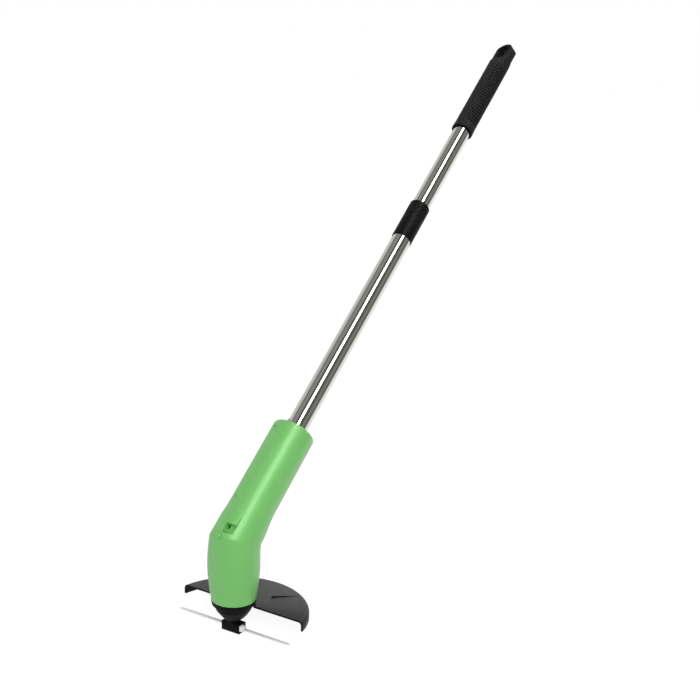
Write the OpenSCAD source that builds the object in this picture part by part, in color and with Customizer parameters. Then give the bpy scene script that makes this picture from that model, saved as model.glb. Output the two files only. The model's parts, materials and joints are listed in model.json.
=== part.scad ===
// Battery grass trimmer on a telescopic pole.
// Z runs up the spindle, the pole leans towards +Y, and the origin is the
// middle of the spindle block's bottom face. Millimetres.

/* [Body] */
// Lean of the pole from the spindle axis, in degrees
bend_angle = 50; // [40:1:55]
// Height of the bend, where the two axes cross
bend_h = 98; // [97:1:110]
// Diameter of the body through the bend
bend_d = 48; // [47:0.5:52]
// Radius of the inner side's turn, measured on the axis
bend_turn = 32; // [30:1:34]
// Widest diameter of the motor pod
pod_d = 53; // [51:0.2:56]
// Height of the widest part of the pod
pod_wide_h = 74; // [70:1:78]
// Height of the pod's bottom edge
pod_base_h = 32; // [31:0.5:33]
// Diameter of the pod's bottom edge
pod_base_d = 44.2; // [43:0.2:46]
// Diameter of the sleeve
sleeve_d = 46; // [45:0.5:48]
// Length of the sleeve from the bend
sleeve_len = 133; // [132:1:140]
// Distance from the bend at which the sleeve has lost its flare
flare_len = 34; // [30:1:50]
// Wall of the moulded body
body_wall = 2.2; // [2:0.1:2.4]
// Thickness of the pod's floor
floor_t = 2.4; // [2:0.1:3]
// Thickness of the sleeve's end wall round the tube
cap_t = 4.4; // [4:0.1:5]

/* [Battery bay] */
// Diameter of one cell
cell_d = 14.5; // [14:0.1:14.6]
// Length of one cell
cell_l = 50.5; // [49:0.1:50.6]
// Distance of the cells' axes from the middle plane, to the left
cell_side = 6; // [5:0.1:6.5]
// Width of the door across the sleeve
door_w = 39; // [36:0.5:39.5]
// Gap round the door
door_gap = 0.3; // [0.2:0.05:0.5]
// Thickness of the bay's walls and ribs
rib_t = 1.6; // [1.2:0.1:2]
// Height of a sprung contact
leaf_h = 2.6; // [2:0.1:3]
// Height of a fixed contact's dimple
dimple_h = 1.2; // [1:0.1:1.4]

/* [Switch] */
// Length of the flat floor of the slider's well
well_l = 17.5; // [16:0.5:18]
// Length of the ramp that runs out of the well towards the head
ramp_l = 5; // [3:0.5:6]
// Width of the well, from the parting line
well_w = 11.3; // [10:0.1:12]
// Middle of the flat floor along the sleeve
well_at = 7; // [6.5:0.1:7]
// Depth of the well
well_deep = 2; // [1.6:0.1:2.4]
// Length of the slider
slider_l = 10; // [8:0.5:11]
// Height of the slider above the body
slider_up = 1.2; // [0.8:0.1:2]

/* [Motor] */
// Diameter of the motor's can
motor_d = 27.6; // [26:0.2:28]
// Length of the motor's can
motor_l = 38; // [34:0.5:39]
// Diameter of the shaft
shaft_d = 3.2; // [2.6:0.1:4]

/* [Cutting head] */
// Length of the spindle block
block_l = 22; // [20:0.5:26]
// Width of the spindle block
block_w = 11; // [10.6:0.2:13]
// Height of the spindle block
block_h = 9.5; // [9.5:0.1:9.9]
// Diameter of the block's neck
neck_d = 11.4; // [11:0.2:16]
// Width of a cable tie
tie_w = 3.6; // [2.4:0.1:3.8]
// Thickness of a cable tie
tie_t = 1.2; // [1:0.1:1.4]
// Reach of a cable tie from the spindle axis
tie_reach = 67; // [50:1:72]
// Diameter of the nose cone's lower end
nose_d = 21; // [18:0.5:22]
// Height of the nose cone's lower end
nose_h = 14; // [13.8:0.1:15]

/* [Guard] */
// Radius of the guard
guard_r = 76.3; // [74:0.5:90]
// Distance of the flat front edge behind the spindle axis
guard_flat = 13.4; // [10:0.2:16]
// Drop of the guard's top face below the pod's bottom edge
guard_drop = 7.3; // [7:0.1:8]
// Depth of the guard from its top face to its rim's edge
skirt_h = 10.5; // [9:0.5:14]
// Thickness of the guard
guard_t = 2; // [1.6:0.1:2.4]
// Radius of the rim's outer round
rim_round = 5; // [4:0.5:6]

/* [Pole] */
// Diameter of the lower tube
lower_d = 22.6; // [22:0.1:23.6]
// Wall of the tubes
tube_wall = 0.4; // [0.4:0.1:0.6]
// Gap between the two tubes
tube_gap = 0.3; // [0.3:0.05:0.4]
// Length of lower tube that shows
lower_out = 274; // [240:1:340]
// Length of the lock collar
collar_l = 54; // [45:1:60]
// Diameter of the lock collar
collar_d = 24.4; // [24.2:0.2:28]
// Length of upper tube that shows
upper_out = 127; // [110:1:160]
// Length of upper tube inside the lower one
overlap = 75; // [70:1:90]
// Length of the grip with its eye
grip_l = 155; // [150:1:175]
// Diameter of the grip
grip_d = 25.8; // [25.6:0.2:30]
// Diameter of the eye's round end
eye_d = 14; // [12:0.5:16]
// Length of the eye, with the slot that runs down from its round end
eye_l = 21; // [18:0.5:22]
// Width of the eye's slot
eye_slot_w = 9.6; // [8:0.1:9.8]
// Rim of the tab beyond the eye
eye_rim = 3.6; // [3:0.1:5]
// Turn of the eye about the pole, in degrees
eye_turn = 15; // [0:1:30]

/* [Hidden] */
$fn = 72;

seat = 0.1;
run = 0.05;
clear = 0.3;
big = 400;

bend_zone = bend_d / 2 * tan(bend_angle / 2) + 0.6;
curve_n = 14;
step_out = 0.1;
step_in = 0.3;

flange_t = 3.5;
plate_t = 0.6;
bay_top = sleeve_len - cap_t - flange_t - rib_t;
bay_l = 2 * cell_l + 2 * plate_t + leaf_h + dimple_h;
bay_low = bay_top - bay_l;
column_y = (cell_d + 0.5) / 2;
door_low = bay_low - rib_t / 2;
door_top = bay_top + rib_t / 2;
door_reach = 4;
hinge_x = sleeve_d / 2 + 0.2;
hinge_t = door_top + door_gap / 2;
knuckle_r = 1.6;
knuckle_in = 1.5;
knuckle_out = 4.8;
hinge_pin_r = 0.7;
shelf_w = 2 * column_y + cell_d;

screw_r = 1.1;
screw_head_r = 1.9;
screw_head_t = 1.6;
screw_seat = 5;
screw_l = 13;
boss_r = 2.5;
pod_boss_y = pod_d / 2 - body_wall - boss_r - 1.8;
sleeve_boss_y = sleeve_d / 2 - body_wall - boss_r - 0.95;

slider_w = well_w - 2 * clear;
slider_top = well_at + well_l / 2 - clear;
slider_travel = well_l - slider_l - 2 * clear;
well_floor = sqrt(pow(bend_d / 2, 2) - pow(well_w, 2)) - well_deep;
stem_w = 2;
stem_l = 4;
stem_x = stem_w / 2 + 2 * clear;
stem_t = slider_top - slider_l / 2;
case_l = 17.6;
case_w = 9;
case_h = 7;
case_x = stem_x - stem_w / 2 - clear - 1.5;
case_y = -well_floor + 1.8;
case_low = stem_t - slider_travel / 2 - case_l / 2;
pin_x = case_x + case_w / 2;
pin_l = 4;
pin_high = case_low + 13;
pin_low = case_low + 4;

front_low = bay_low + plate_t + leaf_h;
back_low = bay_low + plate_t + dimple_h;

motor_low = pod_base_h + floor_t + 2.2;
motor_top = motor_low + motor_l;
pod_boss_z = motor_low + 0.75 * motor_l - 1;
motor_cap_t = 6;
motor_pin_x = 6;
motor_pin_l = 4.5;

tie_y = tie_w / 2 + 0.8;
tie_high = block_h / 2 + 1.2;
tie_lower = block_h / 2 - 2.5;
head_l = 4.6;
head_w = tie_w + 1.2;
head_h = 5.6;
head_sink = 1.4;

cone_neck_d = 34;
ring_t = 2;
ring_low = pod_base_h - ring_t;
cone_top_d = pod_base_d - 4.6;
flat_lean = 40;
guard_top = pod_base_h - guard_drop;
brace_x = 18.5;
brace_y = 39.5;
brace_l = 29;
brace_h = 2.2;
brace_turn = 45;

collar_low = sleeve_len + lower_out;
collar_top = collar_low + collar_l;
upper_d = lower_d - 2 * tube_wall - 2 * tube_gap;
grip_low = collar_top + upper_out;
pole_top = grip_low + grip_l;
plug_up = 45;
lower_foot = sleeve_len - cap_t;
lower_end = collar_top - 8;
upper_foot = collar_top - overlap;
grip_socket = 105;
eye_r = grip_d / 2;
eye_t = pole_top - eye_r;
hole_t = pole_top - eye_rim - eye_d / 2;
slot_t = hole_t + eye_d / 2 - eye_l + eye_slot_w / 2;
eye_half = 6;

stud_r = 3;
lock_pitch = 2;
lock_turn = 270;
lock_travel = lock_pitch * lock_turn / 360;
lock_low = upper_foot - 26;
cone_low = lock_low + lock_travel + 0.5;
cone_h = 8;

rib_pitch = 5;
rib_low = grip_low + 9;
rib_n = floor((eye_t - eye_r - 16 - rib_low) / rib_pitch);

wire_r = 0.8;
wire_x = cell_d / 2 + 5.5;
pin_drop = bend_h - motor_top - motor_cap_t - motor_pin_l - 0.05;
pin_end = [0, pin_drop * sin(bend_angle), -pin_drop * cos(bend_angle)];
pin_near = [0, (pin_drop - 3) * sin(bend_angle), -(pin_drop - 3) * cos(bend_angle)];
pin_y = case_y + case_h + 2.1;
tab_t = bay_top - plate_t - 0.05;

// Smooth step from 0 to 1
function ease(u) = (1 - cos(180 * min(max(u, 0), 1))) / 2;

// Radius of the pod at a height
function pod_r(z) =
  z <= pod_wide_h
  ? pod_base_d / 2 + (pod_d - pod_base_d) / 2
    * sin(90 * max(z - pod_base_h, 0) / (pod_wide_h - pod_base_h))
  : bend_d / 2 + (pod_d - bend_d) / 2
    * (1 - ease((z - pod_wide_h) / (bend_h - bend_zone - pod_wide_h)));

// Radius of the sleeve at a distance from the bend, a small step inside the pod's
function sleeve_r(t) =
  let (u = ease((t - bend_zone) / (flare_len - bend_zone)))
  (bend_d / 2 - step_out) * (1 - u) + sleeve_d / 2 * u;

// Heights at which the pod's outline has a point
function pod_steps(low) = concat(
  [for (i = [0 : curve_n]) low + (pod_wide_h - low) * i / curve_n],
  [for (i = [1 : 6]) pod_wide_h + (bend_h - bend_zone - pod_wide_h) * i / 6],
  [bend_h + bend_zone]
);

// Distances along the sleeve at which its outline has a point
function sleeve_steps(top) = concat(
  [-bend_zone],
  [for (i = [0 : 8]) bend_zone + (flare_len - bend_zone) * i / 8],
  [top]
);

// Puts children in the pole's frame: Z along the pole, -Y on its upper side
module on_pole() {
  translate([0, 0, bend_h]) rotate([-bend_angle, 0, 0]) children();
}

// Ring along Z
module tube(r_out, r_in, low, high) {
  translate([0, 0, low]) difference() {
    cylinder(r = r_out, h = high - low);
    translate([0, 0, -1]) cylinder(r = r_in, h = high - low + 2);
  }
}

// Plain disc along Z
module rod(r, low, high) {
  translate([0, 0, low]) cylinder(r = r, h = high - low);
}

// Space on the pod's side of the bend
module pod_side() {
  translate([0, 0, bend_h]) rotate([-bend_angle / 2, 0, 0])
    translate([-big / 2, -big / 2, -big]) cube(big);
}

// Space on the sleeve's side of the bend
module sleeve_side() {
  translate([0, 0, bend_h]) rotate([-bend_angle / 2, 0, 0])
    translate([-big / 2, -big / 2, 0]) cube(big);
}

// Turns an outline about Z: the left half for side -1, the right for 1, all for 0
module turned(side) {
  if (side == 0) rotate_extrude() children();
  else rotate([0, 0, side < 0 ? 90 : -90]) rotate_extrude(angle = 180) children();
}

// Turned pod, inset by a wall and raised by a floor
module pod_form(side, inset, low) {
  steps = pod_steps(low);
  turned(side) polygon(concat(
    [[0, low]],
    [for (z = steps) [pod_r(z) - inset, z]],
    [[0, bend_h + bend_zone]]
  ));
}

// Turned sleeve, inset by a wall, with the edge of its end rounded
module sleeve_form(side, inset, top, edge) {
  steps = sleeve_steps(top - edge);
  r_end = sleeve_r(top) - inset;
  turned(side) polygon(concat(
    [[0, -bend_zone]],
    [for (t = steps) [sleeve_r(t) - inset, t]],
    [for (a = [15 : 15 : 90]) [r_end - edge + edge * cos(a), top - edge + edge * sin(a)]],
    [[0, top]]
  ));
}

// Turned stretch that rounds the inner side of the bend
module bend_inside() {
  translate([0, bend_turn, bend_h - bend_turn * tan(bend_angle / 2)])
    rotate([0, 90, 0]) rotate([0, 0, -90 - bend_angle])
      rotate_extrude(angle = bend_angle) translate([bend_turn, 0]) circle(r = bend_d / 2 - 2 * step_out);
}

// One half of the body as a solid
module body_outside(side) {
  intersection() {
    pod_form(side, 0, pod_base_h);
    pod_side();
  }
  intersection() {
    on_pole() sleeve_form(side, 0, sleeve_len, 2);
    sleeve_side();
  }
  intersection() {
    bend_inside();
    half_space(side);
  }
}

// Space inside the body, or a little more of it
module body_inside(side, inset) {
  intersection() {
    pod_form(side, inset + step_in, pod_base_h + floor_t);
    pod_side();
  }
  intersection() {
    on_pole() sleeve_form(side, inset, sleeve_len - cap_t, 0);
    sleeve_side();
  }
}

// Half of space, left for side -1 and right for side 1
module half_space(side) {
  translate([side < 0 ? -big : 0, -big / 2, -big / 2]) cube([big, big, 2 * big]);
}

// Places of the body's screws, with Z turned along X
module at_screws() {
  for (y = [-pod_boss_y, pod_boss_y])
    translate([0, y, pod_boss_z]) rotate([0, 90, 0]) children();
  on_pole() {
    for (t = [bay_low + 9, bay_top - 9])
      for (y = [-sleeve_boss_y, sleeve_boss_y])
        translate([0, y, t]) rotate([0, 90, 0]) children();
  }
}

// Space that the battery door takes, grown by a gap
module door_space(gap) {
  on_pole() translate([-big, -door_w / 2 - gap, door_low - gap])
    cube([big - door_reach, door_w + 2 * gap, door_top - door_low + 2 * gap]);
}

// Cradle ribs and end walls of the battery bay, grown from the right shell
module bay_ribs() {
  on_pole() {
    for (t = [bay_low + 0.25 * bay_l, bay_low + 0.5 * bay_l, bay_low + 0.75 * bay_l])
      translate([0, 0, t - rib_t / 2]) linear_extrude(rib_t) difference() {
        intersection() {
          circle(r = sleeve_d / 2 - body_wall + 0.4);
          translate([-cell_side, -shelf_w / 2 - 1]) square([big, shelf_w + 2]);
        }
        for (y = [-column_y, column_y])
          translate([-cell_side, y]) circle(r = cell_d / 2 + seat);
        wire_window();
      }
    difference() {
      translate([0, 0, bay_low - rib_t]) linear_extrude(rib_t) end_wall(bend_d / 2 - body_wall + 0.4);
      translate([case_x - seat, -big, case_low]) cube([case_w + 2 * seat, big, case_l + seat]);
    }
    translate([0, 0, bay_top]) linear_extrude(rib_t) end_wall(sleeve_d / 2 - body_wall + 0.4);
  }
}

// Wall behind the contacts, out to the right shell's skin
module end_wall(r) {
  difference() {
    union() {
      intersection() {
        circle(r = r);
        translate([0, -big / 2]) square(big);
      }
      translate([-cell_side - cell_d / 2, -shelf_w / 2]) square([cell_side + cell_d, shelf_w]);
    }
    wire_window();
  }
}

// Window in the ribs that the wires run through
module wire_window() {
  translate([cell_d / 2 + 2, -9]) square([7, 18]);
}

// Ribs that cradle the motor in both halves
module motor_ribs() {
  for (z = [motor_low + 0.3 * motor_l, motor_low + 0.75 * motor_l])
    tube(pod_d / 2, motor_d / 2 + seat, z, z + 2);
  tube(pod_d / 2, motor_d / 2 - 4, motor_top + motor_cap_t, motor_top + motor_cap_t + 2);
}

// Walls round the switch's well, with its floor on the right side
module well_block(side) {
  depth = bend_d / 2 - well_floor + 1.2;
  on_pole() intersection() {
    translate([side < 0 ? -1.5 : 0, 0.6 - bend_d / 2, well_at - well_l / 2 - ramp_l - 1.5])
      cube([side < 0 ? 1.5 : well_w + 1.5, depth, well_l + ramp_l + 3]);
    rod(bend_d / 2 - 0.5, -big / 2, big / 2);
  }
}

// Well that the slider lies in, with the slot for its stem
module well_cut() {
  low = well_at - well_l / 2;
  on_pole() {
    translate([-0.01, 0, 0]) rotate([90, 0, 90]) linear_extrude(well_w) polygon([
      [-big, low - ramp_l], [-bend_d / 2 - 1, low - ramp_l], [-well_floor, low],
      [-well_floor, low + well_l], [-big, low + well_l]
    ]);
    translate([stem_x - stem_w / 2 - clear, -well_floor - 1, stem_t - stem_l / 2 - clear - slider_travel])
      cube([stem_w + 2 * clear, 6, stem_l + 2 * clear + slider_travel]);
  }
}

// Bosses for the screws, with webs that tie them to the skin beside the door
module bosses(side) {
  deep = side < 0 ? screw_seat + 1.5 : 30;
  low = side < 0 ? -deep : 0;
  at_screws() rod(boss_r, low, low + deep);
  on_pole() for (t = [bay_low + 9, bay_top - 9])
    for (y = [-1, 1]) scale_y(y)
      translate([low, sleeve_boss_y, t - 1]) cube([deep, 8, 2]);
}

// Mirrors children to -Y for side -1
module scale_y(side) {
  if (side < 0) mirror([0, 1, 0]) children();
  else children();
}

// One half of the body: skin, motor ribs, bosses and the walls of its bays
module body_half(side) {
  difference() {
    union() {
      difference() {
        body_outside(side);
        body_inside(0, body_wall);
        if (side < 0) door_space(door_gap);
      }
      intersection() {
        union() {
          motor_ribs();
          bosses(side);
        }
        body_inside(side, body_wall - 0.4);
      }
      well_block(side);
      if (side > 0) bay_ribs();
      if (side < 0) at_hinge() for (dir = [0, 180])
        rotate([dir, 0, 0]) rod(knuckle_r, knuckle_in + clear, knuckle_out);
    }
    if (side < 0) at_hinge() {
      rod(knuckle_r + clear, -knuckle_in - clear, knuckle_in + clear);
      rod(hinge_pin_r + run, -knuckle_out - 0.1, knuckle_out + 0.1);
    }
    at_screws() rod(screw_r + seat, -screw_l, screw_l - screw_seat + 1);
    at_screws() rod(screw_head_r + seat, -big, -screw_seat);
    rod(cone_neck_d / 2 + clear, 0, pod_base_h + floor_t + 1);
    on_pole() rod(lower_d / 2 + seat, lower_foot - 1, sleeve_len + 1);
    if (side > 0) well_cut();
    if (side < 0) pry_notch();
  }
}

// Shallow round notches beside the door's ends for a fingernail
module pry_notch() {
  on_pole() for (t = [bay_low + 19, door_top - 1.5])
    translate([0, 0, t]) rotate([0, 90, 244]) rod(2.4, sleeve_d / 2 - 1, sleeve_d / 2 + 3);
}

// Places children on the axis of the door's hinge, with Z along it
module at_hinge() {
  on_pole() translate([-hinge_x, 0, hinge_t]) rotate([-90, 0, 0]) children();
}

module left_shell() {
  color([0.46, 0.75, 0.42]) body_half(-1);
}

module right_shell() {
  color([0.46, 0.75, 0.42]) body_half(1);
}

module body_screws() {
  color([0.5, 0.5, 0.52]) at_screws() difference() {
    union() {
      rod(screw_r, -screw_seat - 0.5, screw_l - screw_seat);
      rod(screw_head_r, -screw_seat - screw_head_t, -screw_seat);
    }
    for (a = [0, 90])
      rotate([0, 0, a]) translate([-1.5, -0.3, -screw_seat - screw_head_t - 1]) cube([3, 0.6, 2]);
  }
}

// Door with a hinge knuckle at its upper end and a latch rib at its lower end
module battery_door() {
  color([0.46, 0.75, 0.42]) {
    difference() {
      union() {
        intersection() {
          body_outside(-1);
          door_space(0);
        }
        at_hinge() rod(knuckle_r, -knuckle_in, knuckle_in);
      }
      body_inside(0, body_wall);
      at_hinge() for (dir = [0, 180])
        rotate([dir, 0, 0]) rod(knuckle_r + clear, knuckle_in, knuckle_out + clear);
    }
    at_hinge() rod(hinge_pin_r, -knuckle_out + 0.5, knuckle_out - 0.5);
    on_pole() translate([-bend_d / 2 + body_wall - 0.3, -3, bay_low + clear])
      cube([bend_d / 2 - body_wall - cell_side - cell_d / 2 + 0.9, 6, 1.4]);
  }
}

// Cell along the sleeve, with its button up for dir 1 and down for dir -1
module cell(y, low, dir) {
  on_pole() translate([-cell_side, y, low + (dir > 0 ? 0 : cell_l)]) rotate([dir > 0 ? 0 : 180, 0, 0]) {
    difference() {
      rod(cell_d / 2, 0, cell_l - 1.2);
      tube(cell_d / 2 + 1, cell_d / 2 - 0.6, cell_l - 2.4, cell_l);
      tube(cell_d / 2 + 1, cell_d / 2 - 0.6, -1, 0.6);
    }
    rod(2.7, cell_l - 2, cell_l);
  }
}

module cell_1() {
  color([0.75, 0.62, 0.3]) cell(-column_y, front_low, 1);
}

module cell_2() {
  color([0.75, 0.62, 0.3]) cell(-column_y, front_low + cell_l, 1);
}

module cell_3() {
  color([0.75, 0.62, 0.3]) cell(column_y, back_low, -1);
}

module cell_4() {
  color([0.75, 0.62, 0.3]) cell(column_y, back_low + cell_l, -1);
}

// Plate against an end wall, out to a side: dir 1 faces up the sleeve
module contact_plate(x_high, y_low, y_high, at, dir) {
  translate([-cell_side - 5, y_low, dir > 0 ? at : at - plate_t])
    cube([cell_side + 5 + x_high, y_high - y_low, plate_t]);
}

// Folded leaf that springs against a cell
module leaf(y, at, dir) {
  translate([-cell_side, y + 2.5, at]) mirror([0, 0, dir > 0 ? 0 : 1]) rotate([90, 0, 0])
    linear_extrude(5) polygon([
      [-4.5, 0], [-4.5, 0.4], [1, leaf_h], [4, leaf_h], [4, leaf_h - 0.4], [1.2, leaf_h - 0.4], [-3, 0]
    ]);
}

// Round dimple that meets a cell's button
module dimple(y, at, dir) {
  translate([-cell_side, y, at]) mirror([0, 0, dir > 0 ? 0 : 1])
    cylinder(r1 = 3.4, r2 = 2.4, h = dimple_h);
}

module contact_bridge() {
  color([0.8, 0.78, 0.72]) on_pole() {
    contact_plate(case_x - clear, -column_y - 5, column_y + 5, bay_low, 1);
    leaf(-column_y, bay_low + plate_t, 1);
    dimple(column_y, bay_low + plate_t, 1);
  }
}

module contact_plus() {
  color([0.8, 0.78, 0.72]) on_pole() {
    contact_plate(2, -column_y - 5, -column_y + 5, bay_top, -1);
    dimple(-column_y, bay_top - plate_t, -1);
    translate([1, -column_y - 2, bay_top - plate_t]) cube([9, 3, plate_t]);
  }
}

module contact_minus() {
  color([0.8, 0.78, 0.72]) on_pole() {
    contact_plate(2, column_y - 5, column_y + 5, bay_top, -1);
    leaf(column_y, bay_top - plate_t, -1);
    translate([1, column_y - 1, bay_top - plate_t]) cube([9, 3, plate_t]);
  }
}

module switch_case() {
  color([0.1, 0.1, 0.11]) on_pole() difference() {
    translate([case_x, case_y, case_low]) cube([case_w, case_h, case_l]);
    translate([stem_x - stem_w / 2 - clear, case_y - 1, stem_t - stem_l / 2 - clear - slider_travel])
      cube([stem_w + 2 * clear, 5, stem_l + 2 * clear + slider_travel]);
  }
}

module switch_terminals() {
  color([0.8, 0.65, 0.3]) on_pole()
    for (t = [pin_low, pin_high])
      translate([pin_x - 1.2, case_y + case_h, t - 0.3]) cube([2.4, pin_l, 0.6]);
}

module switch_slider() {
  color([0.46, 0.75, 0.42]) {
    intersection() {
      on_pole() translate([clear, -big, slider_top - slider_l])
        cube([slider_w, big - well_floor - seat, slider_l]);
      on_pole() translate([0, 0, slider_top - slider_l - 1])
        cylinder(r = bend_d / 2 + slider_up, h = slider_l + 2);
    }
    on_pole() translate([stem_x - stem_w / 2, -well_floor - seat - 0.5, stem_t - stem_l / 2])
      cube([stem_w, 4.5, stem_l]);
  }
}

module motor_can() {
  color([0.7, 0.71, 0.73]) difference() {
    union() {
      rod(motor_d / 2, motor_low, motor_top);
      rod(5, motor_low - 2, motor_low + 1);
    }
    rod(motor_d / 2 - 1, motor_low + 1, motor_top + 1);
    rod(shaft_d / 2 + run, 0, motor_top);
  }
}

module motor_magnets() {
  color([0.2, 0.2, 0.21]) difference() {
    tube(motor_d / 2 - 1 - run, motor_d / 2 - 3.6, motor_low + 5, motor_top - 5);
    for (a = [0, 180])
      rotate([0, 0, a]) translate([0, -2.5, 0]) cube([motor_d, 5, motor_top]);
  }
}

module motor_cap() {
  color([0.85, 0.85, 0.82]) difference() {
    union() {
      rod(motor_d / 2, motor_top, motor_top + motor_cap_t);
      rod(motor_d / 2 - 1 - run, motor_top - 2, motor_top + 1);
    }
    rod(motor_d / 2 - 3, motor_top - 3, motor_top + 2);
    rod(shaft_d / 2 + run, 0, motor_top + motor_cap_t + 1);
  }
}

module motor_terminals() {
  color([0.8, 0.65, 0.3]) for (x = [-motor_pin_x, motor_pin_x])
    translate([x - 0.4, -1.5, motor_top + motor_cap_t]) cube([0.8, 3, motor_pin_l]);
}

module motor_shaft() {
  color([0.78, 0.79, 0.8]) rod(shaft_d / 2, 3, motor_top + motor_cap_t - 1);
}

module armature() {
  color([0.6, 0.35, 0.18]) difference() {
    rod(motor_d / 2 - 4.2, motor_low + 6, motor_top - 8);
    for (i = [0 : 2])
      rotate([0, 0, 120 * i]) translate([motor_d / 2 - 5, 0, 0]) rod(2.4, 0, motor_top);
    rod(shaft_d / 2, 0, motor_top);
  }
}

module commutator() {
  color([0.72, 0.45, 0.25]) tube(4.2, shaft_d / 2, motor_top - 7, motor_top + 1);
}

module spindle_bush() {
  color([0.72, 0.55, 0.3]) tube(shaft_d / 2 + 2.4, shaft_d / 2 + run, nose_h, nose_h + 8);
}

// Nose cone below the body, held by its neck between the two halves
module nose_cone() {
  color([0.1, 0.1, 0.1]) difference() {
    union() {
      difference() {
        rotate_extrude() polygon([
          [0, nose_h], [nose_d / 2, nose_h], [nose_d / 2 + 3.5, nose_h + 4],
          [cone_top_d / 2 - 1.8, ring_low - 6], [cone_top_d / 2, ring_low], [0, ring_low]
        ]);
        // Flats round the cone
        for (a = [0 : 60 : 300])
          rotate([0, 0, a]) translate([nose_d / 2 - 0.7, 0, nose_h]) rotate([0, flat_lean, 0])
            translate([0, -big / 2, -big / 2]) cube(big);
      }
      rod(cone_neck_d / 2, ring_low - 1, pod_base_h + floor_t + 0.2);
      rod(cone_neck_d / 2 + 2.4, pod_base_h + floor_t, motor_low);
    }
    rod(shaft_d / 2 + 2.4, nose_h - 1, nose_h + 8);
    rod(shaft_d / 2 + 1, nose_h - 1, motor_low + 1);
    rod(5 + seat, motor_low - 2 - seat, motor_low + 1);
  }
}

// Slot for a tie and the pocket for its head, for a head on side +X
module tie_slot(y, z) {
  translate([-big / 2, y - tie_w / 2 - seat, z - tie_t / 2 - seat])
    cube([big, tie_w + 2 * seat, tie_t + 2 * seat]);
  translate([block_l / 2 - head_sink, y - head_w / 2 - seat, z - head_h / 2 - seat])
    cube([big, head_w + 2 * seat, head_h + 2 * seat]);
}

// Cable tie lying along -X, with its head on side +X
module tie(y, z) {
  translate([-tie_reach + 4, y - tie_w / 2, z - tie_t / 2])
    cube([tie_reach - 4 + block_l / 2, tie_w, tie_t]);
  translate([-tie_reach, y, z - tie_t / 2]) linear_extrude(tie_t) polygon([
    [0, -tie_w / 4], [0, tie_w / 4], [4.1, tie_w / 2], [4.1, -tie_w / 2]
  ]);
  translate([block_l / 2 - head_sink, y - head_w / 2, z - head_h / 2]) cube([head_l, head_w, head_h]);
}

module spindle_block() {
  color([0.08, 0.08, 0.08]) difference() {
    union() {
      translate([-block_l / 2, -block_w / 2, 0]) cube([block_l, block_w, block_h]);
      rod(neck_d / 2, block_h - 0.5, nose_h - 0.8);
    }
    tie_slot(-tie_y, tie_high);
    rotate([0, 0, 180]) tie_slot(-tie_y, tie_lower);
    rod(shaft_d / 2, 3, big);
  }
}

module tie_left() {
  color([0.85, 0.86, 0.86]) difference() {
    tie(-tie_y, tie_high);
    rod(shaft_d / 2 + seat, 0, block_h);
  }
}

module tie_right() {
  color([0.85, 0.86, 0.86]) difference() {
    rotate([0, 0, 180]) tie(-tie_y, tie_lower);
    rod(shaft_d / 2 + seat, 0, block_h);
  }
}

// Outline of the guard's plate and rim, from the hub to the edge
module guard_profile() {
  hub = pod_base_d / 2 - 0.1;
  rim_in = rim_round - guard_t;
  translate([hub - 2, guard_top - guard_t]) square([guard_r - rim_round - hub + 2, guard_t]);
  translate([guard_r - guard_t, guard_top - skirt_h]) square([guard_t, skirt_h - rim_round]);
  translate([guard_r - rim_round, guard_top - rim_round]) intersection() {
    difference() {
      circle(r = rim_round);
      circle(r = rim_in);
    }
    square(rim_round);
  }
}

module guard() {
  hub = pod_base_d / 2 - 0.1;
  color([0.3, 0.3, 0.31]) {
    intersection() {
      rotate_extrude() guard_profile();
      translate([-big / 2, guard_flat, 0]) cube(big);
    }
    // Wall from the plate up to the ring, on the rear side
    intersection() {
      tube(hub, hub - 2, guard_top - guard_t, pod_base_h);
      translate([-big / 2, guard_flat, 0]) cube(big);
    }
    // Ring held between the body and the nose cone
    tube(hub, cone_neck_d / 2 + seat, ring_low, pod_base_h);
    // Stiffening ribs, tallest near the hub
    for (side = [0, 1]) mirror([side, 0, 0])
      translate([brace_x, brace_y, guard_top - 0.2]) rotate([90, 0, brace_turn]) translate([0, 0, -0.7])
        linear_extrude(1.4) polygon([[0, 0], [0, brace_h], [brace_l - 2, 0.5], [brace_l, 0]]);
  }
}

// Routes of the wires in the pole's frame, from the contacts to the motor
red_route = [
  [9, -8, tab_t], [9, -8, bay_top - 4], [wire_x, -6.5, bay_top - 12],
  [wire_x, -6, bay_top - 30], [wire_x, -6, bay_low + 30], [wire_x, -6.5, bay_low + 8],
  [wire_x, -6.5, bay_low - 2.6], [9, -7.5, bay_low - 3.6], [pin_x + 2, pin_y, bay_low - 3.8],
  [pin_x, pin_y, pin_high + 1.8], [pin_x, pin_y, pin_high + 0.35]
];
black_route = [
  [9, 8, tab_t], [9, 8, bay_top - 4], [wire_x, 6.5, bay_top - 12],
  [wire_x, 6, bay_top - 30], [wire_x, 6, bay_low + 30], [wire_x, 6, bay_low - 4],
  [11, 6, bay_low - 13], pin_near + [motor_pin_x, 0, 0], pin_end + [motor_pin_x, 0, 0]
];
switch_route = [
  [pin_x, pin_y, pin_low - 0.35], [pin_x, pin_y, pin_low - 3.5], [2, -3, pin_low - 5.5],
  [-4, 4, pin_low - 4.5], pin_near - [motor_pin_x, 0, 0], pin_end - [motor_pin_x, 0, 0]
];

function unit(v) = v / norm(v);

// Direction of a route at one of its points
function heading(p, i) =
  let (n = len(p) - 1)
  i == 0 ? unit(p[1] - p[0])
  : i == n ? unit(p[n] - p[n - 1])
  : unit(unit(p[i] - p[i - 1]) + unit(p[i + 1] - p[i]));

// Points of the tube's rings, eight to a ring
function wire_points(p) = [
  for (i = [0 : len(p) - 1])
    let (
      d = heading(p, i),
      u = unit(cross(d, abs(d[0]) < 0.8 ? [1, 0, 0] : [0, 1, 0])),
      w = cross(d, u)
    )
    for (k = [0 : 7]) p[i] + wire_r * (cos(45 * k) * u + sin(45 * k) * w)
];

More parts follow.
